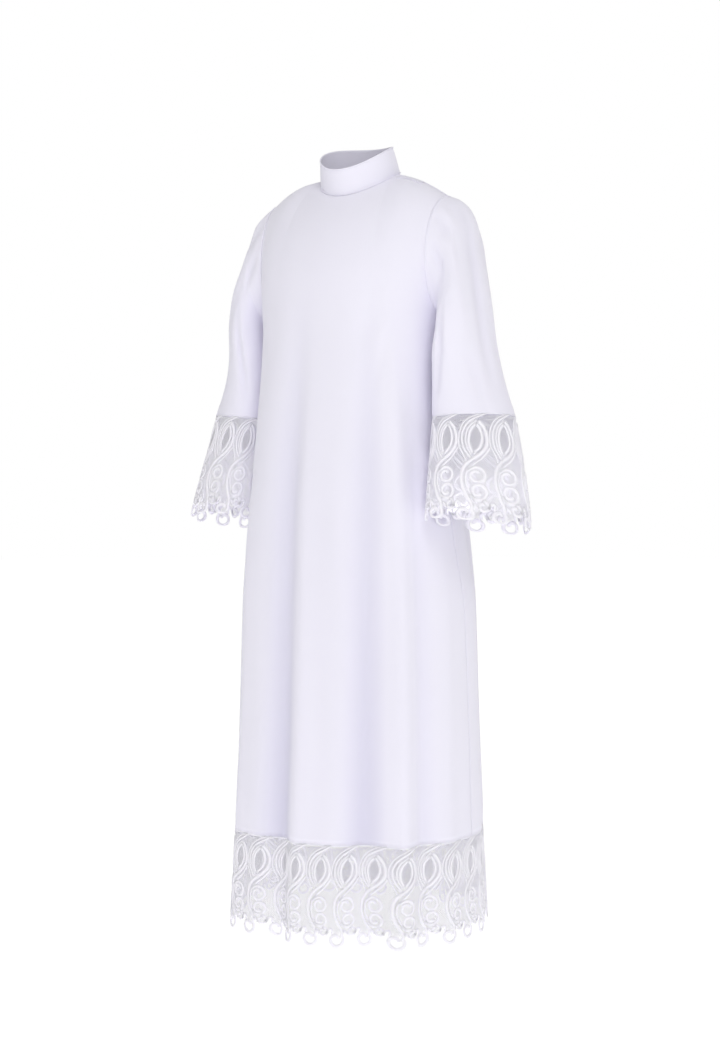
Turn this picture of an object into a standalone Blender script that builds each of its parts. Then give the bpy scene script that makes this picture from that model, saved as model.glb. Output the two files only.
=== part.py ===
"""Alb robe, worn: a long white vestment with a stand collar, set-in sleeves and deep lace at cuffs and hem.

Heights in the tables are above the floor that the wearer stands on. The part's origin is at the wearer's
shoulders, SHOULDER_HEIGHT up. +X is the wearer's left, -Y the front, +Z up. Every wall is an open sheet with
Solidify, thickened inwards from its outer face.
"""

import bmesh
import bpy
from collections import namedtuple
from math import cos, degrees, exp, hypot, pi, radians, sin
from mathutils import Vector

SHOULDER_HEIGHT = 1.500
CLOTH = 0.0012  # wall of the body, sleeves and collar
LACE = 0.0014  # wall of the lace bands
SEAM = 0.0003  # gap between two pieces that are sewn together
RIDGE_SEAM = 0.0010  # the same at the neck, shoulder and side seams, whose walls lean together inside

UNDERARM_HEIGHT = 1.272
HEM_LACE_HEIGHT = 0.302  # where the cloth ends and the hem lace begins
HEM_HEIGHT = 0.118  # lowest points of the hem lace
HEM_REPEATS = 28  # lace scallops round the hem
CUFF_REPEATS = 9  # lace scallops round a cuff
SCALLOP_DEPTH = 0.017
SCALLOP_ROUNDNESS = 0.6
SCALLOP_COLUMNS = 4

# Body rings: half-width at the side seams, depth in front and behind, squareness of the ring.
Ring = namedtuple("Ring", "height half_width front back squareness")
RINGS = [
    Ring(1.272, 0.188, 0.158, 0.140, 2.3),
    Ring(1.200, 0.178, 0.170, 0.150, 2.6),
    Ring(1.090, 0.180, 0.182, 0.165, 2.8),
    Ring(0.960, 0.188, 0.194, 0.180, 2.8),
    Ring(0.860, 0.203, 0.200, 0.190, 2.6),
    Ring(0.740, 0.225, 0.204, 0.196, 2.3),
    Ring(0.530, 0.235, 0.210, 0.205, 2.2),
    Ring(0.296, 0.242, 0.220, 0.215, 2.15),
    Ring(0.115, 0.250, 0.228, 0.222, 2.15),
]

# Standing folds that hang from the yoke and the waist. Angles are degrees round the ring from the wearer's
# left; depth is how far the middle goes in (a trough) or out (a ridge, negative).
Fold = namedtuple("Fold", "angle_top angle_hem top full depth_top depth_hem width_top width_hem")
FOLDS = [
    Fold(-152, -154, 1.20, 0.70, 0.003, 0.009, 6.0, 6.0),
    Fold(-132, -136, 1.20, 0.70, -0.003, -0.008, 7.0, 7.0),
    Fold(-102, -107, 1.42, 0.95, 0.006, 0.030, 8.0, 9.0),
    Fold(-92, -93, 1.30, 0.80, -0.002, -0.008, 6.0, 6.0),
    Fold(-55, -58, 1.38, 1.00, 0.006, 0.026, 7.0, 9.0),
    Fold(-42, -41, 1.36, 0.95, -0.005, -0.022, 6.0, 7.0),
    Fold(-30, -32, 1.25, 0.75, 0.004, 0.010, 5.0, 5.5),
    Fold(-14, -18, 1.05, 0.60, -0.002, -0.006, 5.0, 5.0),
    Fold(24, 22, 1.25, 0.80, 0.004, 0.011, 6.0, 7.0),
    Fold(48, 44, 1.35, 0.90, -0.005, -0.012, 7.0, 8.0),
    Fold(68, 66, 1.38, 1.00, 0.006, 0.013, 6.0, 7.0),
    Fold(90, 91, 1.30, 0.85, -0.003, -0.009, 8.0, 8.0),
    Fold(112, 115, 1.38, 1.00, 0.006, 0.012, 6.0, 8.0),
    Fold(134, 138, 1.35, 0.90, -0.005, -0.012, 7.0, 7.0),
    Fold(157, 159, 1.25, 0.80, 0.004, 0.011, 6.0, 6.0),
]

# Neck seam and collar: the collar leans forward with the neck.
NECK_HALF_WIDTH = 0.076
NECK_HALF_DEPTH = 0.074
NECK_HEIGHT = 1.5478
NECK_TILT = 0.358  # rise towards the back, metres per metre
NECK_DROP = 2.617  # extra fall away from the sides, per metre
COLLAR_HEIGHT = 0.048
COLLAR_TOP_HALF_WIDTH = 0.069
COLLAR_TOP_HALF_DEPTH = 0.068
COLLAR_LEAN = 0.015  # how far the top ring stands forward
COLLAR_LAP_ANGLE = 24  # the collar opens over the wearer's left shoulder
COLLAR_LAP = 14  # degrees of overlap
COLLAR_COLUMNS = 34
LAP_OVER = 0.0018  # how far out the upper end of the lap stands
LAP_UNDER = 0.0004  # and how far in the lower end lies
LAP_RISE_START, LAP_RISE = 14, 12  # degrees before the lap where the upper end starts out, and over how many
LAP_FALL = 8  # degrees over which the lower end comes back

# Armhole: an upright oval at each side, narrower in the middle.
ARMHOLE_X = 0.188
ARMHOLE_HOLLOW = 0.008  # how far the middle of the armhole lies towards the neck
HOLLOW_SECTIONS = 3  # sleeve sections over which that runs out
ARMHOLE_HALF_DEPTH = 0.076
ARMHOLE_TOP = 1.503
SHOULDER_SEAM_Y = 0.008
SHOULDER_NECK_ANGLE = 8  # where the shoulder seam meets the neck seam
SHOULDER_CROWN = 0.007

# Sleeve sections, wearer's left: outer and inner ends in the XZ plane, half-depth front to back, the middle's
# place, how far the outer end lies behind the inner one, and how far the back hangs below the middle.
Section = namedtuple("Section", "outer_x outer inner_x inner half_depth middle_y sweep drop")
SLEEVE = [
    Section(0.1892, 1.5030, 0.1892, 1.2710, 0.0765, 0.004, 0.004, 0.000),
    Section(0.2050, 1.4965, 0.1905, 1.2680, 0.0800, 0.008, 0.005, 0.000),
    Section(0.2200, 1.4820, 0.1925, 1.2630, 0.0830, 0.011, 0.006, 0.000),
    Section(0.2330, 1.4560, 0.1935, 1.2560, 0.0840, 0.011, 0.007, 0.001),
    Section(0.2455, 1.4100, 0.1930, 1.2450, 0.0840, 0.003, 0.008, 0.002),
    Section(0.2630, 1.3500, 0.1920, 1.2280, 0.0845, -0.0110, 0.012, 0.003),
    Section(0.2765, 1.2850, 0.1900, 1.2050, 0.0825, -0.0170, 0.016, 0.004),
    Section(0.2850, 1.2250, 0.1890, 1.1740, 0.0770, -0.0170, 0.019, 0.004),
    Section(0.2965, 1.1700, 0.1890, 1.1400, 0.0730, -0.017, 0.022, 0.004),
    Section(0.3105, 1.1220, 0.1900, 1.1080, 0.0710, -0.019, 0.025, 0.004),
    Section(0.3220, 1.0900, 0.1920, 1.0840, 0.0710, -0.021, 0.027, 0.004),
]
CUFF = [
    Section(0.3221, 1.0897, 0.1920, 1.0837, 0.0710, -0.021, 0.027, 0.004),
    Section(0.3350, 1.0200, 0.1935, 1.0190, 0.0790, -0.025, 0.033, 0.008),
    Section(0.3460, 0.9500, 0.1955, 0.9540, 0.0880, -0.031, 0.039, 0.013),
    Section(0.3550, 0.8760, 0.1990, 0.8900, 0.0950, -0.038, 0.045, 0.018),
]
RIGHT_ARM_BACK = 0.014  # the wearer's right arm hangs a little further back
RIGHT_ARM_OUT = 0.010  # and its cuff a little further out
ELBOW = 0.375  # share of the arm above which the cuff's shift has no effect
SLEEVE_COLUMNS = 24
# Folds along a sleeve: angle round it at the first and last section they reach, front negative.
SleeveFold = namedtuple("SleeveFold", "angle_first angle_last depth width first last")
SLEEVE_FOLDS = [
    SleeveFold(-8, -25, 0.006, 10, 1.5, 9.0),
    SleeveFold(-84, -90, 0.006, 9, 0.5, 4.0),
    SleeveFold(-89, -130, 0.006, 10, 4.5, 9.0),
    SleeveFold(-50, -55, -0.004, 14, 1.0, 8.0),
    SleeveFold(40, 32, 0.006, 13, 1.0, 9.5),
    SleeveFold(100, 88, 0.005, 13, 1.0, 8.0),
    SleeveFold(68, 60, -0.004, 12, 2.0, 9.0),
]
# Flutes of the lace bell, deepest at its edge.
Flute = namedtuple("Flute", "angle depth width")
FLUTES = [
    Flute(-33, 0.010, 10),
    Flute(-12, -0.005, 12),
    Flute(-62, -0.004, 14),
    Flute(-104, 0.006, 13),
    Flute(42, 0.009, 14),
    Flute(78, -0.005, 14),
    Flute(120, 0.007, 14),
]

# How a panel is drawn above the underarm: across runs from -1 to 1 between its side edges.
NECK_SHARE = 0.42  # share of the top edge that the neck takes
NECK_REACH = 0.62  # where the panel stops leaning towards the neck
NECK_BLEND = 0.45  # and over how much of it
NECK_CLIMB = 0.35  # how roundly the middle climbs to the neck; the rest is straight
EDGE_HOLD = 3.0  # how closely the armhole's shape stays at the edge
FOLD_FADE = 2.0  # how soon above the underarm the folds run out

# Up the front, the shoulder placket reaches down to this share of the panel above the underarm.
PLACKET_END = 0.89
PLACKET_COLUMNS = (22, 26)  # panel columns between which it lies

PANEL_COLUMNS = 30
PANEL_LEVELS = (1.0, PLACKET_END, 0.78, 0.67, 0.56, 0.45, 0.34, 0.23, 0.12, 0.0)  # shoulder to underarm
PANEL_HEIGHTS = (1.20, 1.12, 1.02, 0.92, 0.82, 0.70, 0.56, 0.42)

WHITE_CLOTH = (0.86, 0.86, 0.90, 1.0)
WHITE_LACE = (0.92, 0.92, 0.95, 1.0)


def blend(low, high, share):
    return low + (high - low) * share


def ease(share):
    share = min(1.0, max(0.0, share))
    return share * share * (3 - 2 * share)


def smooth_between(before, first, last, after, share):
    """A value on the curve through first and last that heads for the values on either side."""
    start = (last - before) / 2
    end = (after - first) / 2
    square, cube = share * share, share**3
    return (
        (2 * cube - 3 * square + 1) * first
        + (cube - 2 * square + share) * start
        + (3 * square - 2 * cube) * last
        + (cube - square) * end
    )


def ring_at(height):
    """The body ring at a height, on a smooth curve through the table."""
    if height >= RINGS[0].height:
        return RINGS[0]
    last = len(RINGS) - 1
    place = 0
    while place < last - 1 and height < RINGS[place + 1].height:
        place += 1
    upper, lower = RINGS[place], RINGS[place + 1]
    before, after = RINGS[max(0, place - 1)], RINGS[min(last, place + 2)]
    share = (upper.height - height) / (upper.height - lower.height)
    return Ring(*(smooth_between(*values, share) for values in zip(before, upper, lower, after)))


def fold_depth(angle, height):
    """How far the folds move the cloth in at an angle and a height on the body."""
    total = 0.0
    for fold in FOLDS:
        down = (fold.top - height) / (fold.top - HEM_HEIGHT)
        if down <= 0:  # above this fold
            continue
        middle = blend(fold.angle_top, fold.angle_hem, down)
        width = blend(fold.width_top, fold.width_hem, down)
        strength = ease((fold.top - height) / (fold.top - fold.full))
        depth = blend(fold.depth_top, fold.depth_hem, down) * strength
        away = (angle - middle + 180) % 360 - 180
        total += depth * exp(-((away / width) ** 2))
    return total


def body_point(angle, height):
    """A point on the body's outer face below the underarm."""
    ring = ring_at(height)
    turn = radians(angle)
    across, along = cos(turn), sin(turn)
    depth = ring.back if along > 0 else ring.front
    power = ring.squareness
    radius = ((abs(across) / ring.half_width) ** power + (abs(along) / depth) ** power) ** (-1 / power)
    radius -= fold_depth(angle, height)
    return [radius * across, radius * along, height - SHOULDER_HEIGHT]


def neck_point(angle):
    """A point on the neck seam."""
    x = NECK_HALF_WIDTH * cos(radians(angle))
    y = NECK_HALF_DEPTH * sin(radians(angle))
    return [x, y, NECK_HEIGHT + NECK_TILT * y - NECK_DROP * y * y - SHOULDER_HEIGHT]


def armhole_point(share, face):
    """A point on the armhole of the wearer's left, from the underarm (0) to the shoulder (1)."""
    turn = pi * share
    middle = (ARMHOLE_TOP + UNDERARM_HEIGHT) / 2
    half = (ARMHOLE_TOP - UNDERARM_HEIGHT) / 2
    y = face * (ARMHOLE_HALF_DEPTH * sin(turn) + RIDGE_SEAM / 2) + SHOULDER_SEAM_Y * ease(share)
    return [ARMHOLE_X - ARMHOLE_HOLLOW * sin(turn), y, middle - half * cos(turn) - SHOULDER_HEIGHT]


def top_point(across, face):
    """A point on a panel's top edge: armhole to neck along the shoulder seam, then round the neck."""
    side = 1 if across > 0 else -1
    seam_neck = neck_point(SHOULDER_NECK_ANGLE if side > 0 else 180 - SHOULDER_NECK_ANGLE)
    if abs(across) <= NECK_SHARE:
        turn = (1 - across / NECK_SHARE) / 2
        first, last = SHOULDER_NECK_ANGLE, 180 - SHOULDER_NECK_ANGLE
        if face < 0:
            last -= 360
        return neck_point(blend(first, last, turn))
    out = (abs(across) - NECK_SHARE) / (1 - NECK_SHARE)
    tip = armhole_point(1, face)
    tip[0] *= side
    tip[1] = SHOULDER_SEAM_Y
    point = [blend(inner, outer, out) for inner, outer in zip(seam_neck, tip)]
    point[2] += SHOULDER_CROWN * sin(pi * out)
    return point


def panel_angle(across, face):
    """The ring angle of a column: across is 1 at the wearer's left side seam and -1 at the right one."""
    half = 90 - degrees(RIDGE_SEAM / 2 / ARMHOLE_X)
    return (90 - half * across) if face > 0 else (-90 + half * across)


def rolled(across, face, inward, rise):
    """A point between a column's foot at the underarm and its top, by shares inwards and upwards."""
    low = body_point(panel_angle(across, face), UNDERARM_HEIGHT)
    high = top_point(across, face)
    high[1] += face * RIDGE_SEAM / 2
    return [blend(low[0], high[0], inward), blend(low[1], high[1], inward), blend(low[2], high[2], rise)]


def upper_point(across, up, face):
    """A point above the underarm: up is 0 at the underarm and 1 at the shoulder and neck."""
    inward, rise = 1 - cos(pi * up / 2), sin(pi * up / 2)
    neck = ease((NECK_REACH - abs(across)) / NECK_BLEND)
    climb = blend(rise, blend(up, rise, NECK_CLIMB), neck)
    point = rolled(across, face, blend(inward, up * up, neck), climb)
    side = 1 if across > 0 else -1
    plain = rolled(side, face, inward, rise)
    edge = armhole_point(up, face)
    edge[0] *= side
    for axis in range(3):
        point[axis] += (edge[axis] - plain[axis]) * abs(across) ** EDGE_HOLD
    angle = panel_angle(across, face)
    drop = fold_depth(angle, blend(UNDERARM_HEIGHT, ARMHOLE_TOP, up)) - fold_depth(angle, UNDERARM_HEIGHT)
    point[1] -= face * drop * (1 - ease(up * FOLD_FADE))
    return point


def add_sheet(name, rows, thickness, colour, closed=False):
    """A loft through rows of points, thickened inwards. Columns run left to right seen from outside."""
    mesh_builder = bmesh.new()
    grid = [[mesh_builder.verts.new(point) for point in row] for row in rows]
    columns = len(rows[0])
    for upper, lower in zip(grid, grid[1:]):
        for column in range(columns if closed else columns - 1):
            after = (column + 1) % columns
            mesh_builder.faces.new((upper[column], lower[column], lower[after], upper[after]))
    mesh = bpy.data.meshes.new(name)
    mesh_builder.to_mesh(mesh)
    mesh_builder.free()
    sheet = bpy.data.objects.new(name, mesh)
    garment.objects.link(sheet)
    wall = sheet.modifiers.new("wall", "SOLIDIFY")
    wall.thickness = thickness
    wall.offset = -1
    material = bpy.data.materials.new(name)
    material.use_nodes = True
    surface = material.node_tree.nodes["Principled BSDF"]
    surface.inputs["Base Color"].default_value = colour
    surface.inputs["Roughness"].default_value = 0.85
    surface.inputs["Metallic"].default_value = 0.0
    mesh.materials.append(material)
    mesh.shade_smooth()
    return sheet


def spread(first, last, count):
    return [blend(first, last, step / count) for step in range(count + 1)]


def body_panel(name, face):
    """Front or back, in one piece from the shoulder seams and neck to the hem lace."""
    columns = spread(-1.0, 1.0, PANEL_COLUMNS)
    if face > 0:
        columns.reverse()
    rows = [[upper_point(across, up, face) for across in columns] for up in PANEL_LEVELS]
    for height in PANEL_HEIGHTS + (HEM_LACE_HEIGHT + SEAM / 2,):
        rows.append([body_point(panel_angle(across, face), height) for across in columns])
    return add_sheet(name, rows, CLOTH, WHITE_CLOTH)


def raised(across, up, lift):
    """A point over the front panel, moved out along the panel's own normal."""
    step = 0.01
    here = Vector(upper_point(across, up, -1))
    over = Vector(upper_point(across + step, up, -1)) - here
    down = Vector(upper_point(across, up - step, -1)) - here
    return here + down.cross(over).normalized() * lift


def shoulder_placket():
    """The strip on the wearer's left shoulder that hides the opening beside the collar."""
    columns = spread(-1.0, 1.0, PANEL_COLUMNS)[PLACKET_COLUMNS[0] : PLACKET_COLUMNS[1] + 1]
    rows = [[raised(across, up, CLOTH + SEAM) for across in columns] for up in (1.0, PLACKET_END)]
    return add_sheet("shoulder_placket", rows, CLOTH, WHITE_CLOTH)


def scallop(share):
    """How far a lace edge rises at a share of a repeat: round lobes with a notch between."""
    return SCALLOP_DEPTH * (1 - abs(sin(pi * share)) ** SCALLOP_ROUNDNESS)


def hem_lace(name, face):
    """The hem's lace band, half round, with its scalloped edge."""
    repeats = HEM_REPEATS // 2
    count = repeats * SCALLOP_COLUMNS
    columns = spread(-1.0, 1.0, count)
    if face > 0:
        columns.reverse()
    rows = []
    for down in (0.0, 1.0):
        row = []
        for step, across in enumerate(columns):
            lowest = HEM_HEIGHT + scallop(step / SCALLOP_COLUMNS)
            height = blend(HEM_LACE_HEIGHT - SEAM / 2, lowest, down)
            row.append(body_point(panel_angle(across, face), height))
        rows.append(row)
    return add_sheet(name, rows, LACE, WHITE_LACE)


def section_point(section, angle, side, depth=0.0, hollow=0.0):
    """A point on a sleeve section: angle 0 is its outer end, -90 the front. Hollow draws its sides inwards."""
    turn = radians(angle)
    middle_x = (section.outer_x + section.inner_x) / 2
    middle_z = (section.outer + section.inner) / 2
    reach_x = (section.outer_x - section.inner_x) / 2
    reach_z = (section.outer - section.inner) / 2
    reach = hypot(reach_x, reach_z)
    scale = 1 - depth / reach
    x = middle_x + reach_x * cos(turn) * scale - hollow * abs(sin(turn))
    z = middle_z + reach_z * cos(turn) * scale - section.drop * sin(turn)
    y = section.middle_y + section.sweep * cos(turn) + (section.half_depth - depth) * sin(turn)
    return [side * x, y, z - SHOULDER_HEIGHT]


def arm_section(table, place, side):
    """A sleeve or cuff section of one arm, from the tables of the wearer's left one."""
    section = table[place]
    if side > 0:
        return section
    down = (SHOULDER_HEIGHT - section.outer) / (SHOULDER_HEIGHT - CUFF[-1].outer)
    back = RIGHT_ARM_BACK * sin(pi * min(1.0, max(0.0, down)))
    out = RIGHT_ARM_OUT * ease((down - ELBOW) / (1 - ELBOW))
    return section._replace(middle_y=section.middle_y + back, outer_x=section.outer_x + out)


def sleeve_fold(angle, place):
    """How far a sleeve's folds move it in, at an angle and a place down its sections."""
    total = 0.0
    for fold in SLEEVE_FOLDS:
        along = (place - fold.first) / (fold.last - fold.first)
        if 0 < along < 1:
            away = (angle - blend(fold.angle_first, fold.angle_last, along) + 180) % 360 - 180
            total += fold.depth * sin(pi * along) * exp(-((away / fold.width) ** 2))
    return total


def flute_depth(angle, down):
    """How far a cuff's flutes move it in, at an angle and a share of the way down."""
    total = 0.0
    for flute in FLUTES:
        away = (angle - flute.angle + 180) % 360 - 180
        total += flute.depth * ease(down) * exp(-((away / flute.width) ** 2))
    return total


def round_angles(count, side):
    """Angles round a sleeve so that its faces point outwards on either side."""
    angles = [360 * step / count - 180 for step in range(count)]
    return angles if side > 0 else angles[::-1]


def sleeve(name, side):
    """The sleeve, from the armhole to its lace."""
    angles = round_angles(SLEEVE_COLUMNS, side)
    rows = []
    for place in range(len(SLEEVE)):
        section = arm_section(SLEEVE, place, side)
        hollow = ARMHOLE_HOLLOW * max(0.0, 1 - place / HOLLOW_SECTIONS)
        rows.append([section_point(section, angle, side, sleeve_fold(angle, place), hollow) for angle in angles])
    return add_sheet(name, rows, CLOTH, WHITE_CLOTH, closed=True)


def sleeve_lace(name, side):
    """The cuff's lace band, a bell with a scalloped edge."""
    count = CUFF_REPEATS * SCALLOP_COLUMNS
    angles = round_angles(count, side)
    rows = []
    last = len(CUFF) - 1
    for place in range(len(CUFF)):
        row = []
        for step, angle in enumerate(angles):
            fold = flute_depth(angle, place / last)
            point = section_point(arm_section(CUFF, place, side), angle, side, fold)
            if place == last:
                point[2] += scallop(step / SCALLOP_COLUMNS)
            row.append(point)
        rows.append(row)
    return add_sheet(name, rows, LACE, WHITE_LACE, closed=True)


def collar_point(angle, up, move=0.0):
    """A point on the collar: up is 0 at the neck seam and 1 at its top edge."""
    low = neck_point(angle)
    turn = radians(angle)
    width = blend(NECK_HALF_WIDTH, COLLAR_TOP_HALF_WIDTH, up) + move
    depth = blend(NECK_HALF_DEPTH, COLLAR_TOP_HALF_DEPTH, up) + move
    y = depth * sin(turn) - COLLAR_LEAN * up
    return [width * cos(turn), y, low[2] + RIDGE_SEAM + COLLAR_HEIGHT * up]


def collar():
    """The stand collar: one strip round the neck whose front end laps over the other."""
    first = COLLAR_LAP_ANGLE - 360
    rows = []
    for up in (1.0, 0.5, 0.0):
        row = []
        for angle in spread(first, COLLAR_LAP_ANGLE + COLLAR_LAP, COLLAR_COLUMNS):
            over = ease((angle - COLLAR_LAP_ANGLE + LAP_RISE_START) / LAP_RISE)
            under = 1 - ease((angle - first) / LAP_FALL)
            row.append(collar_point(angle, up, LAP_OVER * over - LAP_UNDER * under))
        rows.append(row)
    return add_sheet("collar", rows, CLOTH, WHITE_CLOTH)


for startup_object in list(bpy.data.objects):
    bpy.data.objects.remove(startup_object, do_unlink=True)
garment = bpy.data.collections.new("alb_robe")
bpy.context.scene.collection.children.link(garment)

body_panel("body_front", -1)
body_panel("body_back", 1)
shoulder_placket()
hem_lace("hem_lace_front", -1)
hem_lace("hem_lace_back", 1)
collar()
for side_name, side in (("left", 1), ("right", -1)):
    sleeve("sleeve_" + side_name, side)
    sleeve_lace("sleeve_lace_" + side_name, side)
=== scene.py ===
# %% [markdown]
# # An alb robe
# The alb is a priest's long white robe: smooth light cloth from a stand collar to the shins, and deep
# guipure lace at the cuffs and the hem. This lesson shapes the cloth as thin shells on the garment's own
# form, makes the lace flat as a strip, as a lace machine does, and then wraps the strip round the cloth.

# %% Load the fixed frame
from collections import namedtuple

import bpy
import numpy as np
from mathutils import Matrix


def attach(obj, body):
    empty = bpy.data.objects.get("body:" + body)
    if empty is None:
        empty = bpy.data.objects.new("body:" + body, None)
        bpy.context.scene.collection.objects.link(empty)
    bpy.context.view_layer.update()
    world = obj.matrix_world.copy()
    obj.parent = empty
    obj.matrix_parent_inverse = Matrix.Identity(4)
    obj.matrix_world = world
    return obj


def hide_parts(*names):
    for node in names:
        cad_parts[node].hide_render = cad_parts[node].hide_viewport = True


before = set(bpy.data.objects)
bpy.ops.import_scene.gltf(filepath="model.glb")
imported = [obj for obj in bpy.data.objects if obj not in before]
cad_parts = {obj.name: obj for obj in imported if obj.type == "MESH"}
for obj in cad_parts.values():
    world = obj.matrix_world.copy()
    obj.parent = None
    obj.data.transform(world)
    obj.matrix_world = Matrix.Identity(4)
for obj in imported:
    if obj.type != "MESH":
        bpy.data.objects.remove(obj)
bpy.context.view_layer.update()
print("frame nodes:", sorted(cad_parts))

# %% [markdown]
# The camera stands at the height of the waist, four metres away and thirty degrees round to the wearer's
# left, and looks level. A level camera keeps upright lines upright, so the picture is framed by a small
# lens shift instead of a tilt.

# %% Camera
SHOULDER_HEIGHT = 1.500
CAMERA_AZIMUTH = np.radians(30)
CAMERA_DISTANCE = 4.0
CAMERA_HEIGHT = 1.05
FIELD_HEIGHT = 2.032  # what the picture spans at the garment, in metres
HORIZON_RISE = 0.0857  # how far above the picture's middle eye level lies, as a share of its height
SENSOR = 36.0


def link_object(name, data):
    made = bpy.data.objects.new(name, data)
    bpy.context.scene.collection.objects.link(made)
    return made


def add_camera():
    data = bpy.data.cameras.new("camera")
    data.sensor_fit = "VERTICAL"
    data.sensor_height = SENSOR
    data.lens = SENSOR * CAMERA_DISTANCE / FIELD_HEIGHT
    data.shift_y = -HORIZON_RISE
    camera = link_object("camera", data)
    x, y = CAMERA_DISTANCE * np.sin(CAMERA_AZIMUTH), -CAMERA_DISTANCE * np.cos(CAMERA_AZIMUTH)
    camera.location = (x, y, CAMERA_HEIGHT - SHOULDER_HEIGHT)
    camera.rotation_euler = (np.radians(90), 0, CAMERA_AZIMUTH)
    bpy.context.scene.camera = camera
    return camera


camera = add_camera()
print("lens", round(camera.data.lens, 1), "mm")

# %% [markdown]
# ## The form
# A worn robe is a tube below the arms and two panels above them. The tables give the tube's rings and its
# standing folds in the garment's own sizes; the functions below turn them into points. They work on whole
# arrays at once, which is what makes fine cloth and thousands of lace threads quick.

# %% Sizes of the body
UNDERARM_HEIGHT = 1.272
HEM_LACE_HEIGHT = 0.302
HEM_HEIGHT = 0.118
CLOTH = 0.0012  # one wall of a sheet
SEAM = 0.0010  # the gap between two sheets that are sewn together, which the seam's ridge covers
Ring = namedtuple("Ring", "height half_width front back squareness")
RINGS = [Ring(*row) for row in (
    (1.272, 0.188, 0.158, 0.14, 2.3),
    (1.2, 0.178, 0.17, 0.15, 2.6),
    (1.09, 0.18, 0.182, 0.165, 2.8),
    (0.96, 0.188, 0.194, 0.18, 2.8),
    (0.86, 0.203, 0.2, 0.19, 2.6),
    (0.74, 0.225, 0.204, 0.196, 2.3),
    (0.53, 0.235, 0.21, 0.205, 2.2),
    (0.296, 0.242, 0.22, 0.215, 2.15),
    (0.115, 0.25, 0.228, 0.222, 2.15),
)]
Fold = namedtuple("Fold", "angle_top angle_hem top full depth_top depth_hem width_top width_hem")
FOLDS = [Fold(*row) for row in (
    (-152, -154, 1.2, 0.7, 0.003, 0.009, 6, 6),
    (-132, -136, 1.2, 0.7, -0.003, -0.008, 7, 7),
    (-102, -107, 1.42, 0.95, 0.006, 0.03, 8, 9),
    (-92, -93, 1.3, 0.8, -0.002, -0.008, 6, 6),
    (-55, -58, 1.38, 1, 0.006, 0.026, 7, 9),
    (-42, -41, 1.36, 0.95, -0.005, -0.022, 6, 7),
    (-30, -32, 1.25, 0.75, 0.004, 0.01, 5, 5.5),
    (-14, -18, 1.05, 0.6, -0.002, -0.006, 5, 5),
    (24, 22, 1.25, 0.8, 0.004, 0.011, 6, 7),
    (48, 44, 1.35, 0.9, -0.005, -0.012, 7, 8),
    (68, 66, 1.38, 1, 0.006, 0.013, 6, 7),
    (90, 91, 1.3, 0.85, -0.003, -0.009, 8, 8),
    (112, 115, 1.38, 1, 0.006, 0.012, 6, 8),
    (134, 138, 1.35, 0.9, -0.005, -0.012, 7, 7),
    (157, 159, 1.25, 0.8, 0.004, 0.011, 6, 6),
)]


# %% Points on the tube of the body
def blend(low, high, share):
    return low + (high - low) * share


def ease(share):
    share = np.clip(share, 0.0, 1.0)
    return share * share * (3 - 2 * share)


def smooth_between(before, first, last, after, share):
    """A value between first and last, on a smooth curve that also heeds the ones before and after."""
    square, cube = share**2, share**3
    value = (2 * cube - 3 * square + 1) * first + (cube - 2 * square + share) * (last - before) / 2
    return value + (3 * square - 2 * cube) * last + (cube - square) * (after - first) / 2


def circle(angle):
    """Cosine and sine of an angle in degrees."""
    return np.cos(np.radians(angle)), np.sin(np.radians(angle))


def ring_values(height):
    """The table's columns at an array of heights, on a smooth curve through its rows."""
    table = np.array(RINGS)
    last = len(table) - 1
    height = np.minimum(np.asarray(height, float), table[0, 0])
    place = np.clip(np.searchsorted(-table[:, 0], -height, side="right") - 1, 0, last - 1)
    upper, lower = table[place], table[place + 1]
    before, after = table[np.maximum(0, place - 1)], table[np.minimum(last, place + 2)]
    share = ((upper[..., 0] - height) / (upper[..., 0] - lower[..., 0]))[..., None]
    value = smooth_between(before, upper, lower, after, share)
    value = np.where(height[..., None] >= table[0, 0], table[0], value)
    return [value[..., column] for column in range(1, 5)]


def around(angle, middle):
    return (angle - middle + 180) % 360 - 180


def fold_depth(angle, height, folds=FOLDS):
    """How far the folds move the cloth in."""
    total = np.zeros(np.broadcast(angle, height).shape)
    for fold in folds:
        down = (fold.top - height) / (fold.top - HEM_HEIGHT)
        middle = blend(fold.angle_top, fold.angle_hem, down)
        width = blend(fold.width_top, fold.width_hem, np.clip(down, 0, 1))
        strength = ease((fold.top - height) / (fold.top - fold.full))
        depth = blend(fold.depth_top, fold.depth_hem, down) * strength
        total = total + depth * np.exp(-((around(angle, middle) / width) ** 2))
    return total


def body_point(angle, height):
    half_width, front, back, power = ring_values(height)
    across, along = circle(angle)
    depth = np.where(along > 0, back, front)
    radius = ((np.abs(across) / half_width) ** power + (np.abs(along) / depth) ** power) ** (-1 / power)
    radius = radius - fold_depth(angle, height)
    up = np.broadcast_to(height, radius.shape) - SHOULDER_HEIGHT
    return np.stack([radius * across, radius * along, up], -1)


print("hem ring half-width:", round(float(body_point(0.0, np.array(HEM_HEIGHT))[0]), 3))

# %% [markdown]
# Above the underarm each panel rolls over the shoulder to a seam on top. Its edge follows the armhole and
# its middle climbs to the neck seam, which is lower in front, because the neck leans forward.

# %% Points on the panels above the underarm
NECK_HALF_WIDTH = 0.076
NECK_HALF_DEPTH = 0.074
NECK_HEIGHT = 1.5478
NECK_TILT = 0.358
NECK_DROP = 2.617
ARMHOLE_X = 0.188
ARMHOLE_HOLLOW = 0.008
ARMHOLE_HALF_DEPTH = 0.076
ARMHOLE_TOP = 1.503
SHOULDER_SEAM_Y = 0.008
SHOULDER_NECK_ANGLE = 8
SHOULDER_CROWN = 0.007
NECK_SHARE = 0.42  # share of a panel's top edge that the neck takes
NECK_REACH, NECK_BLEND = 0.62, 0.45  # where a panel stops leaning towards the neck, and over how much of it
NECK_CLIMB = 0.35
EDGE_HOLD = 3.0
FOLD_FADE = 2.0


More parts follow.
